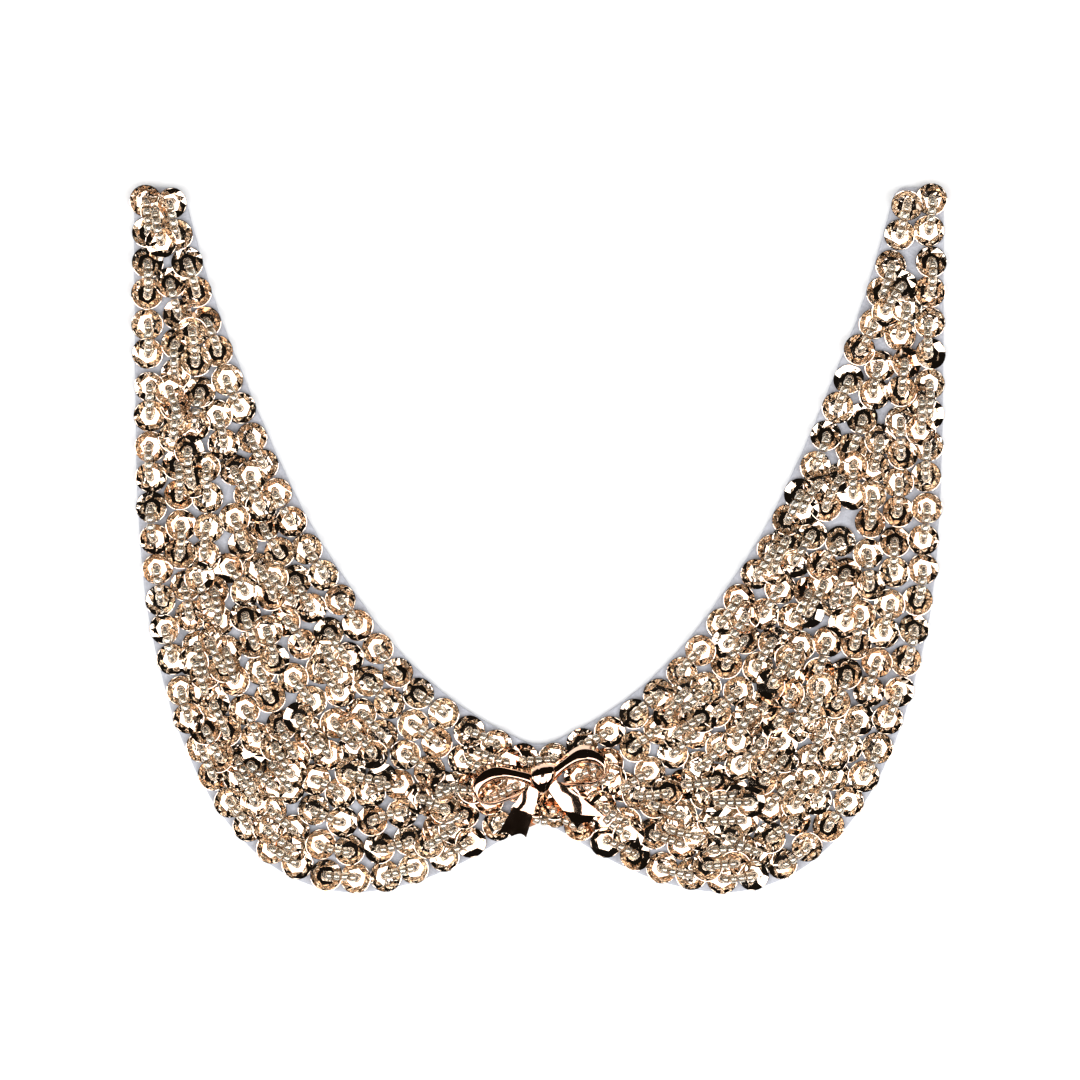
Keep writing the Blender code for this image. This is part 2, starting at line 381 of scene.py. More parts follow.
def sew_rows(neck, outer, chance):
    """The two edge rows, and how many pairs they have, then the rows beside them."""
    sewn = row_of_pairs(outer, OUTER_ROW_INSET, 0)
    neck_row = row_of_pairs(neck, -NECK_ROW_INSET, 0)
    sewn = np.vstack([sewn, neck_row[room_round(neck_row, sewn) > CLOSEST_TO_EDGE_ROW]])
    sewn += chance.uniform(-EDGE_ROW_STRAY, EDGE_ROW_STRAY, sewn.shape)
    edge_pairs = len(sewn)
    for k in range(1, ROWS_FROM_EACH_EDGE + 1):
        for line, inset, other in (
            (outer, OUTER_ROW_INSET + k * ROW_SPACING, neck),
            (neck, -NECK_ROW_INSET - k * ROW_SPACING, outer),
        ):
            pairs = row_of_pairs(line, inset, chance.uniform(*ROW_SHIFTS))
            own = beside(line, pairs.reshape(-1, 2))[0].reshape(-1, 2)
            far = beside(other, pairs.reshape(-1, 2))[0].reshape(-1, 2)
            on_own_side = (own < far + PAST_THE_MIDDLE).all(axis=1)
            off_far_edge = (far > NECK_ROW_INSET + ROW_SPACING / 2).all(axis=1)
            free = room_round(pairs, sewn) > CLOSEST_IN_ROWS
            sewn = np.vstack([sewn, pairs[on_own_side & off_far_edge & free & off_bow_foot(pairs)]])
    return sewn, edge_pairs


def loose_pairs(neck, outer, chance):
    """Places where a pair could go, each laid roughly along the strip, and how deep inside it each is."""
    middle = chance.uniform(outer.min(axis=0), outer.max(axis=0), (PLACES_TRIED, 2))
    from_neck, neck_point, neck_run = beside(neck, middle)
    from_outer, outer_point, outer_run = beside(outer, middle)
    share = (from_neck / (from_neck + from_outer))[:, None]
    along = neck_run * (1 - share) + outer_run * share
    turned = np.arctan2(along[:, 1], along[:, 0]) + chance.normal(0, PAIR_TURN, PLACES_TRIED)
    way = np.column_stack([np.cos(turned), np.sin(turned)])
    half = way * chance.uniform(*PAIR_LENGTH, (PLACES_TRIED, 1)) / 2
    pairs = np.stack([middle - half, middle + half], axis=1)
    ends = pairs.reshape(-1, 2)
    depth = np.minimum(beside(neck, ends)[0], beside(outer, ends)[0]).reshape(-1, 2).min(axis=1)
    on_felt = ((middle - neck_point) * (outer_point - middle)).sum(axis=1) > 0
    off_end = middle[:, 1] < neck[0, 1] - CLEAR_OF_SQUARE_END
    fits = on_felt & off_bow_foot(pairs) & (depth > SEQUIN_RADIUS) & off_end
    return pairs[fits], depth[fits]


def squeeze_in(sewn, candidates, closest, most):
    """Adds pairs one after another, always where there is most room, until the room or the pairs run out."""
    room = room_round(candidates, sewn)
    for _ in range(most):
        if room.max() < closest:
            break
        pair = candidates[room.argmax()]
        sewn = np.vstack([sewn, pair[None]])
        room = np.minimum(room, room_round(candidates, pair))
    return sewn


def settle(sewn, edge_pairs, neck, outer):
    """Pushes crowded sequins a little apart, each pair as one, and nearly leaves the edge rows alone."""
    sequin = np.arange(2 * len(sewn))
    twin = sequin ^ 1  # the other one of its pair
    give = np.where(sequin < 2 * edge_pairs, EDGE_ROW_GIVE, 1.0)[:, None]
    for _ in range(SETTLING_ROUNDS):
        places = sewn.reshape(-1, 2)
        apart = places[:, None] - places[None]
        distance = np.linalg.norm(apart, axis=2)
        distance[sequin, sequin] = 1
        distance[sequin, twin] = 1
        push = np.clip(COMFORTABLE_APART - distance, 0, None) / distance
        move = PUSH_PER_ROUND * give * (apart * push[:, :, None]).sum(axis=1)
        for line, inwards in ((neck, -1), (outer, 1)):
            off, _, run = beside(line, places)
            short = np.clip(NECK_ROW_INSET - off, 0, None)[:, None] * (give == 1)
            move += inwards * short * np.column_stack([-run[:, 1], run[:, 0]])
        moved = (places + move).reshape(-1, 2, 2)
        along = moved[:, 1] - moved[:, 0]
        size = np.linalg.norm(along, axis=1)[:, None]
        was = np.linalg.norm(sewn[:, 1] - sewn[:, 0], axis=1)[:, None]
        half = along / size * np.clip((size + was) / 2, *PAIR_LENGTH) / 2
        centre = moved.mean(axis=1)
        sewn = np.stack([centre - half, centre + half], axis=1)
    return sewn


def sew_pairs(chance):
    """The centres of all the sequins, two by two, with those that lie on top of others last."""
    neck, outer = (whole_line(half) for half in strip_edges(SEWING_STEPS))
    sewn, edge_pairs = sew_rows(neck, outer, chance)
    candidates, depth = loose_pairs(neck, outer, chance)
    sewn = squeeze_in(sewn, candidates, CLOSEST_IN_GAPS, PLACES_TRIED)
    sewn = settle(sewn, edge_pairs, neck, outer)
    sewn = squeeze_in(sewn, candidates[depth > ON_TOP_INSET], CLOSEST_ON_TOP, PAIRS_ON_TOP - len(FRONT_PAIRS))
    return np.vstack([sewn, FRONT_PAIRS])


def stack_up(places, chance):
    """Height and facing of each sequin: the upper one of two that overlap is lifted and leans away."""
    rank = chance.permutation(len(places) - 2 * PAIRS_ON_TOP)
    rank = np.hstack([rank, np.arange(len(rank), len(places))])
    apart = places[:, None] - places[None]
    distance = np.linalg.norm(apart, axis=2)
    np.fill_diagonal(distance, 1)
    overlap = np.clip(1 - distance / (2 * SEQUIN_RADIUS), 0, None)
    overlap[rank[:, None] < rank[None]] = 0
    lift = np.clip(LIFT_PER_OVERLAP * overlap.sum(axis=1), 0, 1) * SEQUIN_DEPTH
    lean = LEAN_PER_OVERLAP * (apart / distance[:, :, None] * overlap[:, :, None]).sum(axis=1)
    lean += chance.normal(0, math.tan(LOOSE_TILT), lean.shape)
    steepness = np.linalg.norm(lean, axis=1)
    lean *= (np.minimum(steepness, math.tan(STEEPEST_TILT)) / steepness)[:, None]
    facing = np.column_stack([lean, np.ones(len(lean))])
    facing /= np.linalg.norm(facing, axis=1)[:, None]
    lift += SEQUIN_BOTTOM_RADIUS * np.linalg.norm(facing[:, :2], axis=1)
    return lift, facing


def cup_sequin():
    """One sequin: a flat hexagon with a hole, six wide facets and six narrow ones, and a turned-over lip."""
    shape = bmesh.new()
    rim_corners = SEQUIN_SIDES * RIM_CORNERS_PER_SIDE

    def ring(radius, height, corners, turn):
        made = []
        for k in range(corners):
            angle = math.tau * k / corners + turn
            made.append(shape.verts.new((radius * math.cos(angle), radius * math.sin(angle), height)))
        return made

    def rim_ring(radius, height):
        return ring(radius, height, rim_corners, math.tau / (2 * rim_corners))

    skins = []
    for drop in (0.0, SEQUIN_FILM):
        hole = ring(SEQUIN_HOLE_RADIUS, SEQUIN_DISH - drop, SEQUIN_SIDES, 0)
        bottom = ring(SEQUIN_BOTTOM_RADIUS, -drop, SEQUIN_SIDES, 0)
        rim = rim_ring(SEQUIN_RADIUS - SEQUIN_LIP, SEQUIN_DEPTH - drop)
        lip = rim_ring(SEQUIN_RADIUS, SEQUIN_DEPTH - SEQUIN_LIP_DROP - drop)
        for k in range(rim_corners):
            shape.faces.new((rim[k - 1], lip[k - 1], lip[k], rim[k]))
        for k in range(SEQUIN_SIDES):
            after = (k + 1) % SEQUIN_SIDES
            first = RIM_CORNERS_PER_SIDE * k
            shape.faces.new((hole[k], bottom[k], bottom[after], hole[after]))
            arc = rim[first : first + RIM_CORNERS_PER_SIDE]
            shape.faces.new((bottom[k], *arc, bottom[after]))
            shape.faces.new((bottom[k], rim[first - 1], rim[first]))
        skins.append((hole, lip))
    for inner, outer in zip(*skins):
        for k in range(len(inner)):
            shape.faces.new((inner[k - 1], inner[k], outer[k], outer[k - 1]))
    bmesh.ops.recalc_face_normals(shape, faces=shape.faces)
    return made_object(shape, "cup_sequin")


def sewing_tree():
    """Geometry nodes that set one shape on every stitch point, turned to the way that the point faces."""
    tree = bpy.data.node_groups.new("sew on", "GeometryNodeTree")
    for name, kind in (
        ("Stitches", "NodeSocketGeometry"),
        ("Shape", "NodeSocketObject"),
        ("Smallest", "NodeSocketFloat"),
        ("Largest", "NodeSocketFloat"),
        ("Seed", "NodeSocketInt"),
        ("Finish", "NodeSocketMaterial"),
    ):
        tree.interface.new_socket(name, in_out="INPUT", socket_type=kind)
    tree.interface.new_socket("Sewn", in_out="OUTPUT", socket_type="NodeSocketGeometry")

    def add(kind, **settings):
        node = tree.nodes.new(kind)
        for name, value in settings.items():
            setattr(node, name, value)
        return node

    given = add("NodeGroupInput")
    facing = add("GeometryNodeInputNamedAttribute", data_type="FLOAT_VECTOR")
    facing.inputs["Name"].default_value = "facing"
    turn = add("GeometryNodeInputNamedAttribute", data_type="FLOAT")
    turn.inputs["Name"].default_value = "turn"
    align = add("FunctionNodeAlignRotationToVector", axis="Z")
    spin = add("FunctionNodeAxisAngleToRotation")
    spin.inputs["Axis"].default_value = (0, 0, 1)
    both = add("FunctionNodeRotateRotation", rotation_space="LOCAL")
    size = add("FunctionNodeRandomValue", data_type="FLOAT")
    shape = add("GeometryNodeObjectInfo")
    shape.inputs["As Instance"].default_value = True
    place = add("GeometryNodeInstanceOnPoints")
    realize = add("GeometryNodeRealizeInstances")
    coat = add("GeometryNodeSetMaterial")
    result = add("NodeGroupOutput")
    least, most, *_ = [socket for socket in size.inputs if socket.type == "VALUE"]
    chosen, *_ = [socket for socket in size.outputs if socket.type == "VALUE"]
    for source, target in (
        (facing.outputs["Attribute"], align.inputs["Vector"]),
        (turn.outputs["Attribute"], spin.inputs["Angle"]),
        (align.outputs["Rotation"], both.inputs["Rotation"]),
        (spin.outputs["Rotation"], both.inputs["Rotate By"]),
        (given.outputs["Smallest"], least),
        (given.outputs["Largest"], most),
        (given.outputs["Seed"], size.inputs["Seed"]),
        (given.outputs["Shape"], shape.inputs["Object"]),
        (given.outputs["Stitches"], place.inputs["Points"]),
        (shape.outputs["Geometry"], place.inputs["Instance"]),
        (both.outputs["Rotation"], place.inputs["Rotation"]),
        (chosen, place.inputs["Scale"]),
        (place.outputs["Instances"], realize.inputs["Geometry"]),
        (realize.outputs["Geometry"], coat.inputs["Geometry"]),
        (given.outputs["Finish"], coat.inputs["Material"]),
        (coat.outputs["Geometry"], result.inputs["Sewn"]),
    ):
        tree.links.new(source, target)
    return tree


def sew_on(name, places, facings, turns, tints, shape, finish, size_range, seed):
    """A joined mesh of one shape, sewn on at every place."""
    mesh = bpy.data.meshes.new(name)
    mesh.from_pydata([tuple(place) for place in places], [], [])
    for attribute, kind, values in (
        ("facing", "FLOAT_VECTOR", facings),
        ("turn", "FLOAT", turns),
        ("tint", "FLOAT", tints),
    ):
        layer = mesh.attributes.new(attribute, kind, "POINT")
        field = "vector" if kind == "FLOAT_VECTOR" else "value"
        layer.data.foreach_set(field, np.asarray(values, np.float32).ravel())
    stitches = bpy.data.objects.new(f"{name}_stitches", mesh)
    bpy.context.collection.objects.link(stitches)
    sewing = stitches.modifiers.new("sewing", "NODES")
    sewing.node_group = sewing_pattern
    given = {
        "Shape": shape,
        "Smallest": size_range[0],
        "Largest": size_range[1],
        "Seed": seed,
        "Finish": finish,
    }
    for item in sewing_pattern.interface.items_tree:
        if item.name in given:
            sewing[item.identifier] = given[item.name]
    bpy.context.view_layer.update()
    graph = bpy.context.evaluated_depsgraph_get()
    sewn_mesh = bpy.data.meshes.new_from_object(stitches.evaluated_get(graph))
    sewn_mesh.name = name
    for spent in ("facing", "turn"):
        if spent in sewn_mesh.attributes:
            sewn_mesh.attributes.remove(sewn_mesh.attributes[spent])
    sewn = bpy.data.objects.new(name, sewn_mesh)
    bpy.context.collection.objects.link(sewn)
    bpy.data.objects.remove(stitches)
    return sewn


SEQUIN_PALE = (0.96, 0.80, 0.66, 1)
SEQUIN_ROSE = (0.90, 0.68, 0.52, 1)
FILM_RIPPLE_SCALE = 700
FILM_RIPPLE_BUMP = 0.2 * MM
FILM_ROUGHNESS = 0.03
FILM_RIPPLE_ROUGHNESS = 0.06


def mirror_film_finish():
    """Champagne mirror film, a little rosier on some sequins, with the faint ripple of a stamped foil."""
    film = Finish("champagne mirror film", Metallic=1.0)
    place = film.node("ShaderNodeTexCoord", output="Object")
    tint = film.node("ShaderNodeAttribute", {"attribute_name": "tint"}, output="Fac")
    ripple = film.node("ShaderNodeTexNoise", Vector=place, Scale=FILM_RIPPLE_SCALE, Detail=1)
    film.feed("Base Color", film.blend(tint, SEQUIN_PALE, SEQUIN_ROSE))
    film.feed("Roughness", FILM_ROUGHNESS + FILM_RIPPLE_ROUGHNESS * ripple)
    film.feed("Normal", film.node("ShaderNodeBump", Height=ripple, Strength=0.25, Distance=FILM_RIPPLE_BUMP))
    return film.material


sewing_pattern = sewing_tree()
sequin_chance = np.random.RandomState(SEWING_SEED)
pairs = sew_pairs(sequin_chance)
sequin_places = pairs.reshape(-1, 2)
sequin_lift, sequin_facing = stack_up(sequin_places, sequin_chance)
sequin_seats = np.column_stack([sequin_places, FELT_THICKNESS + 2 * SEQUIN_FILM + sequin_lift])
one_sequin = cup_sequin()
cup_sequins = sew_on(
    "cup_sequins",
    places=sequin_seats,
    facings=sequin_facing,
    turns=sequin_chance.uniform(0, math.tau, len(sequin_seats)),
    tints=sequin_chance.uniform(0, 1, len(sequin_seats)),
    shape=one_sequin,
    finish=mirror_film_finish(),
    size_range=SEQUIN_SIZES,
    seed=SEQUIN_SIZE_SEED,
)
bpy.data.objects.remove(one_sequin)
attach(cup_sequins, "root")

# Seed beads.
# Champagne glass beads, 2.3 mm, threaded in an arch from the hole of one sequin to the hole of its twin.
# The thread that carries them also holds both sequins down.
BEAD_RADIUS = 1.17 * MM
BEAD_LENGTH = 1.78 * MM
BEAD_PITCH = 1.84 * MM
BEAD_HOLE_RADIUS = 0.42 * MM
BEAD_HOLE_EDGE = 0.9  # where the hole begins, as a share of half the bead's length
BEAD_SIDES = 9
# A bead's outline from its end to its widest ring, as shares of its radius and of half its length.
BEAD_SHOULDER_RINGS = ((0.7, 1.0), (0.93, 0.82), (1.0, 0.42))
# The faces at a bead's ends and shoulders that are given painted shade, for the shade where beads touch.
BEAD_PAINTED_SHADE_FACES = (0, 1, 5, 6)  # counted from the hole's lower end round the outside to its upper end
BEAD_SIZES = (0.95, 1.05)
BEAD_SIZE_SEED = 4
THREADING_SEED = 8
ARCH_HEIGHT = 2.7 * MM
ARCH_FULLNESS = 3.0
ARCH_BULGE = 0.5 * MM
ARCH_SWAY = 0.6 * MM
ARCH_STEPS = 80
HEADING_REACH = 0.3 * MM  # how far before and after a bead the thread's direction is taken
CENTRE_SWAY = -4.2 * MM  # the row at the centre front hangs over the edge of the felt
UNDER_BOW_CENTRE = np.array((0.0, -4.0)) * MM
UNDER_BOW_REACH = np.array((24.0, 16.0)) * MM
UNDER_BOW_TOP = 4.5 * MM  # the bead centres' highest place under the bow


def seed_bead():
    """One bead: a short fat tube with rounded shoulders and a hole."""
    half = BEAD_LENGTH / 2
    upper = [(BEAD_HOLE_RADIUS, half * BEAD_HOLE_EDGE)]
    upper += [(BEAD_RADIUS * out, half * up) for out, up in BEAD_SHOULDER_RINGS]
    profile = [(r, -z) for r, z in upper] + upper[::-1]
    shape = bmesh.new()
    rings = []
    for k in range(BEAD_SIDES):
        angle = math.tau * k / BEAD_SIDES
        rings.append([shape.verts.new((r * math.cos(angle), r * math.sin(angle), z)) for r, z in profile])
    lining = shape.faces.layers.float.new("lining")
    # Faces at the ends and shoulders are marked for painted shade.
    shoulder_painted_shade = shape.faces.layers.float.new("shoulder_painted_shade")
    for ring, following in zip(rings, rings[1:] + rings[:1]):
        for k in range(len(profile)):
            after = (k + 1) % len(profile)
            face = shape.faces.new((ring[k], following[k], following[after], ring[after]))
            face[lining] = float(after == 0)
            face[shoulder_painted_shade] = float(k in BEAD_PAINTED_SHADE_FACES)
    bmesh.ops.recalc_face_normals(shape, faces=shape.faces)
    bead = made_object(shape, "seed_bead")
    bead.data.shade_smooth()
    return bead


def thread_arch(start, finish, rise, sway):
    """Bead centres and the way they face, along an arch from one sequin's hole to the other's."""
    angle = np.linspace(0, math.pi, ARCH_STEPS)[:, None]
    share = 0.5 - 0.5 * np.sign(np.cos(angle)) * np.abs(np.cos(angle)) ** (2 / ARCH_FULLNESS)
    ahead_way = finish - start
    ahead_way[2] = 0
    ahead_way /= np.linalg.norm(ahead_way)
    sideways = np.array([-ahead_way[1], ahead_way[0], 0])
    path = start + share * (finish - start) - ARCH_BULGE * np.sin(2 * angle) * ahead_way
    path[:, 2:] += rise * np.sin(angle) ** (2 / ARCH_FULLNESS)
    path += sway * np.sin(angle) * sideways
    length = np.hstack([0, np.cumsum(np.linalg.norm(np.diff(path, axis=0), axis=1))])
    count = int(length[-1] / BEAD_PITCH)
    at = length[-1] / count * (np.arange(count) + 0.5)

    def points(along):
        return np.column_stack([np.interp(along, length, path[:, k]) for k in range(3)])

    heading = points(at + HEADING_REACH) - points(at - HEADING_REACH)
    return points(at), heading / np.linalg.norm(heading, axis=1)[:, None]


BEAD_CLEAR = (1.0, 0.94, 0.83, 1)
BEAD_SMOKY = (0.93, 0.82, 0.68, 1)
# Painted shade: a darker brown on each bead's ends and shoulders, standing in for the shade where beads touch
# and the dark edges of the glass.
BEAD_SHOULDER_PAINTED_SHADE = (0.66, 0.54, 0.42, 1)
BEAD_LUSTRE = 0.4  # how metallic the glass is, up to fully in the hole's silver lining


def bead_glass_finish():
    """Champagne glass with a thin metallic lustre over a silvered hole, smokier in some beads, with painted
    shade darkening their ends and shoulders.
    """
    glass = Finish("champagne glass", Roughness=0.03, IOR=1.5, Transmission_Weight=0.8)
    tint = glass.node("ShaderNodeAttribute", {"attribute_name": "tint"}, output="Fac")
    lining = glass.node("ShaderNodeAttribute", {"attribute_name": "lining"}, output="Fac")
    glass.feed("Metallic", BEAD_LUSTRE + (1 - BEAD_LUSTRE) * lining)
    # Painted shade: the ends and shoulders take a darker colour where beads meet.
    shoulder_painted_shade = glass.node("ShaderNodeAttribute", {"attribute_name": "shoulder_painted_shade"}, output="Fac")
    glass.feed("Base Color", glass.blend(shoulder_painted_shade, glass.blend(tint, BEAD_CLEAR, BEAD_SMOKY), BEAD_SHOULDER_PAINTED_SHADE))
    return glass.material


bead_chance = np.random.RandomState(THREADING_SEED)
arches = []
for k, ends in enumerate(sequin_seats.reshape(-1, 2, 3)):
    sway = bead_chance.uniform(-ARCH_SWAY, ARCH_SWAY) if k < len(pairs) - 1 else CENTRE_SWAY
    off_bow = np.abs((pairs[k].mean(axis=0) - BOW_CENTRE - UNDER_BOW_CENTRE) / UNDER_BOW_REACH)
    rise = ARCH_HEIGHT if off_bow.max() > 1 else UNDER_BOW_TOP - (ends[0][2] + ends[1][2]) / 2
    arches.append(thread_arch(*ends, rise, sway))
bead_centres, bead_headings = (np.vstack(column) for column in zip(*arches))
one_bead = seed_bead()
seed_beads = sew_on(
    "seed_beads",
    places=bead_centres,
    facings=bead_headings,
    turns=bead_chance.uniform(0, math.tau, len(bead_centres)),
    tints=bead_chance.uniform(0, 1, len(bead_centres)),
    shape=one_bead,
    finish=bead_glass_finish(),
    size_range=BEAD_SIZES,
    seed=BEAD_SIZE_SEED,
)
bpy.data.objects.remove(one_bead)
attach(seed_beads, "root")

# Bow charm.
# A small casting with polished rose gold plating: two hollow loops, a pleated knot and two scalloped tails.
# It is sewn down over the centre front, through the foot behind its knot.
BOW_BACK = 5.8 * MM
BOW_TILT = math.radians(11.7)
BOW_SHARP_ANGLE = math.radians(50)
FOOT_RADIUS = 1.4 * MM
FOOT_SIDES = 32
FELT_TO_FOOT = 0.3 * MM
FUSED_DEPTH = 0.2 * MM  # how far the knot reaches below the loops' backs, and the foot above them

# Sections round the right loop, clockwise from the knot, in millimetres: a point of the band's outer edge,
# the point of the hole's edge that it faces, and the height of the band's crest.
LOOP_ROWS = (
    (1.6, 1.6, 3.2, -1.2, 2.2),
    (6.4, 4.3, 6.6, 0.9, 2.8),
    (11.2, 6.3, 10.6, 1.8, 3.0),
    (15.4, 5.2, 14.2, 1.1, 2.9),
    (17.9, 1.9, 16.2, -0.7, 2.5),
    (17.3, -1.9, 15.8, -2.4, 2.1),
    (14.4, -4.1, 13.8, -3.1, 1.8),
    (10.0, -3.9, 10.0, -2.8, 1.6),
    (6.0, -3.1, 6.4, -2.1, 1.6),
    (1.6, -2.4, 3.6, -1.6, 1.8),
)
LOOP_STEPS = 12
LOOP_REACH = {-1: 1.03, 1: 0.95}  # the left loop is a little longer than the right one
# The band's rise from the hole's edge over its crest and down to its outer edge: place across, and share of
# the crest's height.
BAND_PROFILE = (
    (0.0, 0.42),
    (0.06, 0.64),
    (0.12, 0.86),
    (0.15, 0.92),
    (0.21, 0.97),
    (0.28, 1.0),
    (0.36, 0.992),
    (0.50, 0.955),
    (0.62, 0.905),
    (0.72, 0.85),
    (0.79, 0.79),
    (0.83, 0.66),
    (0.91, 0.40),
    (1.0, 0.14),
)
BAND_BEFORE = np.array((-0.02, 0.2))  # where the rise comes from, which sets its slope at the hole's edge
BAND_STEPS = 3
# The knot from its lower end, at -1, to its upper end, at 1: place, half width and height in millimetres.
KNOT_ROWS = (
    (-1.0, 1.3, 2.0),
    (-0.85, 1.7, 2.5),
    (-0.55, 2.3, 3.05),
    (-0.35, 2.8, 3.45),
    (0.0, 3.2, 3.8),
    (0.32, 3.3, 3.9),
    (0.6, 3.3, 3.45),
    (0.85, 3.2, 2.5),
    (1.0, 3.0, 1.3),
)
KNOT_STEPS = 8
KNOT_HALF_HEIGHT = 3.8 * MM
KNOT_LEAN = 0.6 * MM
KNOT_CORNER_ROUNDING = 0.12
KNOT_SIDE_DROP = 0.25
KNOT_PLEATS = 3
PLEAT_DEPTH = 0.14 * MM
PLEAT_NARROWNESS = 8
KNOT_CELLS = 56
TAIL_ROOTS = {-1: np.array((2.9, -1.8)) * MM, 1: np.array((2.0, -1.8)) * MM}
TAIL_ENDS = {-1: np.array((10.8, -12.8)) * MM, 1: np.array((9.7, -13.5)) * MM}
TAIL_WIDTHS = (2.6 * MM, 7.0 * MM)
TAIL_THICKNESS = 0.9 * MM
TAIL_RIDGE = 0.06 * MM
TAIL_FLARE = 0.6
TAIL_END_SKEW = 0.35
TAIL_SCALLOPS = 2
TAIL_SCALLOP_DEPTH = 0.9 * MM
TAIL_SCALLOP_ONSET = 6  # the power of the length by which the scallops grow, so that only the end has them
TAIL_CELLS = 48
# How the tails rise and fall from the knot to their ends: share of the length, height in millimetres.
TAIL_FALLS = {
    -1: (
        (0.0, 1.65),
        (0.06, 1.64),
        (0.20, 1.57),
        (0.34, 1.44),
        (0.40, 1.42),
        (0.48, 1.46),
        (0.7, 1.75),
        (1.0, 2.15),
    ),
    1: ((0.0, 1.6), (0.4, 1.4), (0.7, 1.2), (1.0, 0.9)),
}
TAIL_FALL_STEPS = 6
# Each tail is bent gently over a crest: places along it in millimetres from the knot, as the bow lies on the
# collar. The right tail's inner corner curls up.
TAIL_CRESTS = {
    -1: ((-7.0, -3.0), (-6.9, -4.4), (-5.9, -8.5)),
    1: ((8.8, -3.1), (11.5, -4.8), (12.0, -8.5), (12.8, -11.0)),
}
TAIL_BEND_RADII = {-1: 42.0 * MM, 1: 68.0 * MM}
TAIL_CURL = 3.0 * MM
TAIL_CURL_SLANT = -0.3
TAIL_CURL_START = 0.8


def smooth_ring(points, steps):
    """A smooth closed line (Catmull-Rom) through points."""
    return smooth_line(np.vstack([points, points[:1]]), points[-1], steps)[:-1]


def ring_round(shape, rings):
    """Closes rings of points into a hollow ring of quads."""
    made = [[shape.verts.new(point) for point in ring] for ring in rings]
    for ring, following in zip(made, made[1:] + made[:1]):
        for k in range(len(ring)):
            after = (k + 1) % len(ring)
            shape.faces.new((ring[k], ring[after], following[after], following[k]))


def smooth_table(rows, steps):
    """A smooth line through a table's rows, straight on at its first one."""
    points = np.array(rows)
    return smooth_line(points, 2 * points[0] - points[1], steps)


def cast_loop(shape, side):
    """A loop: a domed band swept round its teardrop hole, wide above it and narrow below."""
    dome = smooth_line(np.array(BAND_PROFILE), BAND_BEFORE, BAND_STEPS)
    dome = np.vstack([(0.0, 0.0), dome, (1.0, 0.0)])
    sections = smooth_ring(np.array(LOOP_ROWS) * MM, LOOP_STEPS)
    rings = []
    for outer_x, outer_y, hole_x, hole_y, crest in sections:
        x = hole_x + (outer_x - hole_x) * dome[:, 0]
        y = hole_y + (outer_y - hole_y) * dome[:, 0]
        rings.append(np.column_stack([side * LOOP_REACH[side] * x, y, crest * dome[:, 1]]))
    ring_round(shape, rings)


def cast_tail(shape, side):
    """A tail: a thin ribbon end that flares, is bent over a crest and is scalloped at its end."""
    root = TAIL_ROOTS[side]
    length = np.linalg.norm(TAIL_ENDS[side] - root)
    axis = (TAIL_ENDS[side] - root) / length
    sideways = np.array((-axis[1], axis[0]))
    falls = smooth_table(TAIL_FALLS[side], TAIL_FALL_STEPS)
    crest_x, crest_y = np.array(TAIL_CRESTS[side]).T * MM
    rows = []
    for along in np.linspace(0, 1, TAIL_CELLS + 1):
        half_width = (TAIL_WIDTHS[0] + (TAIL_WIDTHS[1] - TAIL_WIDTHS[0]) * along**TAIL_FLARE) / 2
        notch = TAIL_SCALLOP_DEPTH * along**TAIL_SCALLOP_ONSET
        row = []
        for across in np.linspace(-1, 1, TAIL_CELLS + 1):
            scallop = notch * abs(math.sin(math.pi * TAIL_SCALLOPS * (across + 1) / 2))
            reach = length * along + TAIL_END_SKEW * half_width * along**2 * across - scallop
            x, y = root + axis * reach + sideways * half_width * across
            fall = np.interp(along, falls[:, 0], falls[:, 1]) * MM
            laid = Vector((side * x, y)) @ Matrix.Rotation(-BOW_TILT, 2)
            fall -= (laid.x - np.interp(-laid.y, -crest_y, crest_x)) ** 2 / (2 * TAIL_BEND_RADII[side])
            if side > 0:
                fall += TAIL_CURL * max(0.0, along + TAIL_CURL_SLANT * across - TAIL_CURL_START)
            row.append((side * x, y, FUSED_DEPTH + TAIL_THICKNESS + fall + TAIL_RIDGE * (1 - across**2)))
        rows.append(row)
    pad_between(shape, rows, lambda point: point.z - TAIL_THICKNESS)


def cast_knot(shape):
    """The knot: a pleated pad that wraps over the middle of the bow and narrows towards its foot."""
    outline = smooth_table(KNOT_ROWS, KNOT_STEPS)
    rows = []
    for up in np.linspace(-1, 1, KNOT_CELLS + 1):
        half_width = np.interp(up, outline[:, 0], outline[:, 1]) * MM
        height = np.interp(up, outline[:, 0], outline[:, 2]) * MM
        row = []
        for across in np.linspace(-1, 1, KNOT_CELLS + 1):
            crease = (0.5 + 0.5 * math.cos(math.pi * KNOT_PLEATS * (across + 1))) ** PLEAT_NARROWNESS
            x = half_width * across + KNOT_LEAN * up
            y = KNOT_HALF_HEIGHT * up * (1 - KNOT_CORNER_ROUNDING * across**2)
            row.append((x, y, height * (1 - KNOT_SIDE_DROP * across**4) - PLEAT_DEPTH * crease))
        rows.append(row)
    pad_between(shape, rows, lambda point: -FUSED_DEPTH)


def cast_foot(shape):
    """The foot: a short peg behind the knot, down to just above the felt."""
    foot_end = FELT_TO_FOOT + FELT_THICKNESS - BOW_BACK
    bmesh.ops.create_cone(
        shape,
        cap_ends=True,
        segments=FOOT_SIDES,
        radius1=FOOT_RADIUS,
        radius2=FOOT_RADIUS,
        depth=FUSED_DEPTH - foot_end,
        matrix=Matrix.Translation((0, 0, (FUSED_DEPTH + foot_end) / 2)),
    )


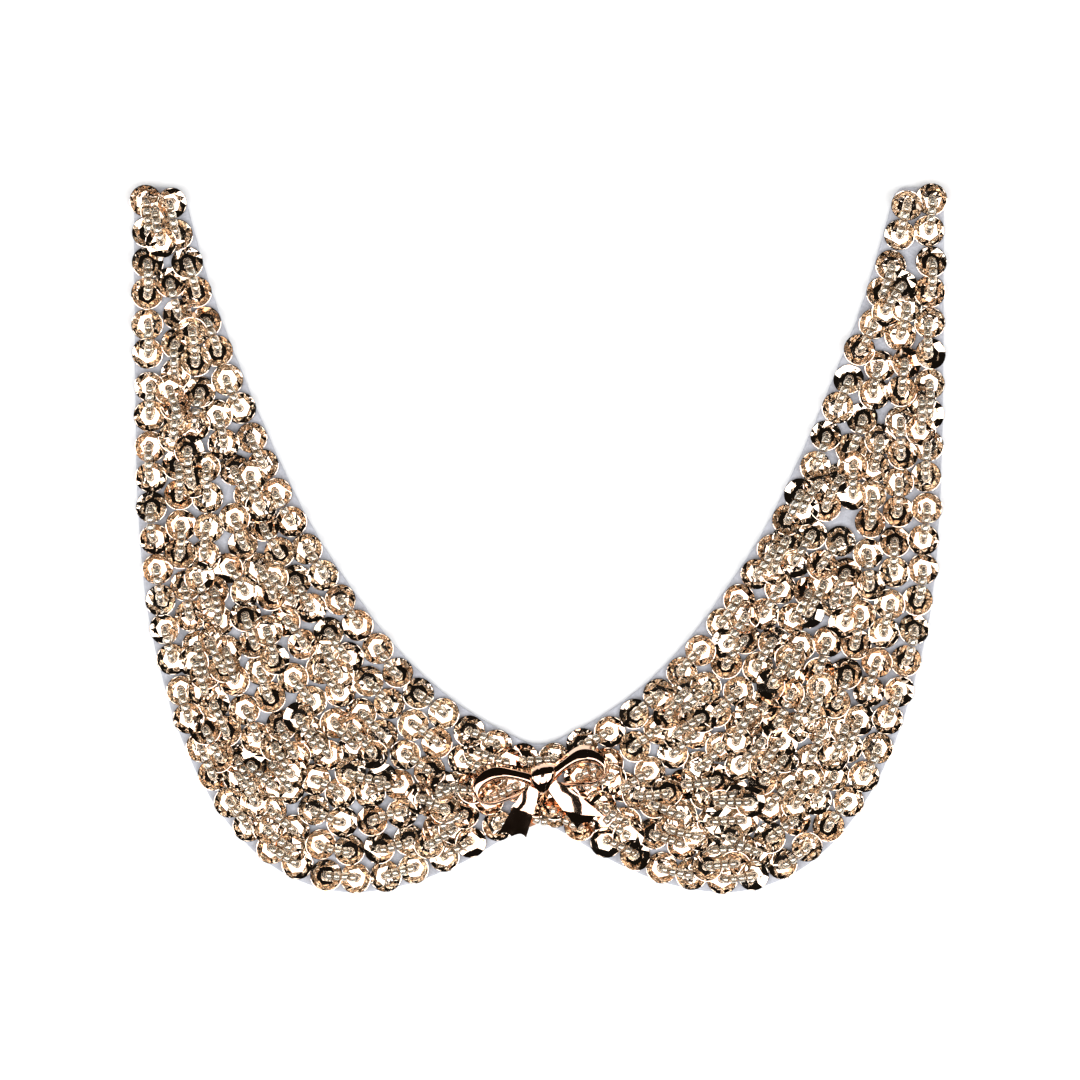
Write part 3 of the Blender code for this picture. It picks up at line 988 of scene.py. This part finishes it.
def cast_bow():
    """The whole charm, turned as it lies on the collar."""
    shape = bmesh.new()
    cast_knot(shape)
    cast_foot(shape)
    for side in (-1, 1):
        cast_loop(shape, side)
        cast_tail(shape, side)
    bmesh.ops.recalc_face_normals(shape, faces=shape.faces)
    seat = Matrix.Translation((*BOW_CENTRE, BOW_BACK)) @ Matrix.Rotation(BOW_TILT, 4, "Z")
    bmesh.ops.transform(shape, matrix=seat, verts=shape.verts)
    bow = made_object(shape, "cast_bow")
    bow.data.shade_smooth()
    bow.data.set_sharp_from_angle(angle=BOW_SHARP_ANGLE)
    bpy.context.collection.objects.link(bow)
    return bow


ROSE_GOLD = (0.91, 0.60, 0.43, 1)
HAZE_SCALE = 400
POLISH_RIPPLE_SCALE = 250
POLISH_RIPPLE_BUMP = 0.3 * MM
GOLD_ROUGHNESS = 0.02
GOLD_HAZE_ROUGHNESS = 0.06


def rose_gold_finish():
    """Polished rose gold plating, with a faint haze and the slight ripple of a hand-polished casting."""
    gold = Finish("polished rose gold", Metallic=1.0, Base_Color=ROSE_GOLD)
    place = gold.node("ShaderNodeTexCoord", output="Object")
    haze = gold.node("ShaderNodeTexNoise", Vector=place, Scale=HAZE_SCALE, Detail=2)
    ripple = gold.node("ShaderNodeTexNoise", Vector=place, Scale=POLISH_RIPPLE_SCALE, Detail=1)
    gold.feed("Roughness", GOLD_ROUGHNESS + GOLD_HAZE_ROUGHNESS * haze)
    polish = gold.node("ShaderNodeBump", Height=ripple, Strength=0.15, Distance=POLISH_RIPPLE_BUMP)
    gold.feed("Normal", polish)
    return gold.material


bow = cast_bow()
bow.data.materials.append(rose_gold_finish())
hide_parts("bow_charm")
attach(bow, "root")

# Table, lights and camera.
# The collar lies on a plain white table. Two large softboxes hang level over it, with a gap between them that
# the metal mirrors as dark lines, two low strips light it from the sides, and a camera looks straight down.
TABLE_SIZE = 6.0
TABLE_WHITE = (0.93, 0.93, 0.93, 1)
table_shape = bmesh.new()
bmesh.ops.create_grid(table_shape, x_segments=1, y_segments=1, size=TABLE_SIZE / 2)
table = made_object(table_shape, "table")
table.data.materials.append(Finish("white table", Base_Color=TABLE_WHITE, Roughness=0.7).material)
bpy.context.collection.objects.link(table)


def softbox(name, centre, width, length, watts, aimed=False):
    """A soft light that is hung level, or aimed at the collar's centre."""
    light = bpy.data.lights.new(name, "AREA")
    light.shape = "RECTANGLE"
    light.size = width
    light.size_y = length
    light.energy = watts
    box = bpy.data.objects.new(name, light)
    box.location = centre
    if aimed:
        box.rotation_euler = (-Vector(centre)).to_track_quat("-Z", "Y").to_euler()
    box.visible_camera = False
    bpy.context.collection.objects.link(box)


for side, name in ((-1, "level softbox left"), (1, "level softbox right")):
    softbox(name, centre=(side * 1.1, -0.68, 2.0), width=2.0, length=1.6, watts=41.0)
softbox("low strip right", centre=(2.2, 0.2, 1.1), width=1.0, length=0.4, watts=6.0, aimed=True)
softbox("low strip left", centre=(-2.2, -0.4, 1.1), width=0.8, length=0.4, watts=5.0, aimed=True)

# The room's wall is white to the camera and a grey fill to matt surfaces, but black flags round the softboxes
# keep it out of mirrored light.
WALL_WHITE = (0.9, 0.9, 0.9, 1)
FILL_GREY = (0.3, 0.3, 0.3, 1)
FLAG_BLACK = (0.008, 0.007, 0.006, 1)
world = bpy.data.worlds.new("studio")
bpy.context.scene.world = world
world.use_nodes = True
sky = world.node_tree
sky.nodes.clear()


def background(colour):
    """One colour all round."""
    node = sky.nodes.new("ShaderNodeBackground")
    node.inputs["Color"].default_value = colour
    return node.outputs[0]


def choose(share, first, second):
    """The first background, or the second one where share is 1."""
    node = sky.nodes.new("ShaderNodeMixShader")
    for place, source in zip(node.inputs, (share, first, second)):
        sky.links.new(source, place)
    return node.outputs[0]


ray = sky.nodes.new("ShaderNodeLightPath")
fill = background(FILL_GREY)
flags = background(FLAG_BLACK)
wall = background(WALL_WHITE)
lit = choose(ray.outputs["Is Camera Ray"], choose(ray.outputs["Is Glossy Ray"], fill, flags), wall)
end = sky.nodes.new("ShaderNodeOutputWorld")
sky.links.new(lit, end.inputs["Surface"])

PHOTO_WIDTH = 276.9 * MM  # what the photo shows from its left side to its right, at FOCUS_HEIGHT
PHOTO_CENTRE_X = 0.26 * MM
CAMERA_HEIGHT = 1.5
FOCUS_HEIGHT = 3 * MM
SENSOR_WIDTH = 36  # in millimetres, as a camera's lens is
camera_data = bpy.data.cameras.new("camera")
camera_data.sensor_width = SENSOR_WIDTH
camera_data.lens = SENSOR_WIDTH * CAMERA_HEIGHT / PHOTO_WIDTH
camera = bpy.data.objects.new("camera", camera_data)
camera.location = (PHOTO_CENTRE_X, 0, CAMERA_HEIGHT + FOCUS_HEIGHT)
bpy.context.collection.objects.link(camera)
bpy.context.scene.camera = camera
bpy.context.scene.view_settings.view_transform = "Standard"
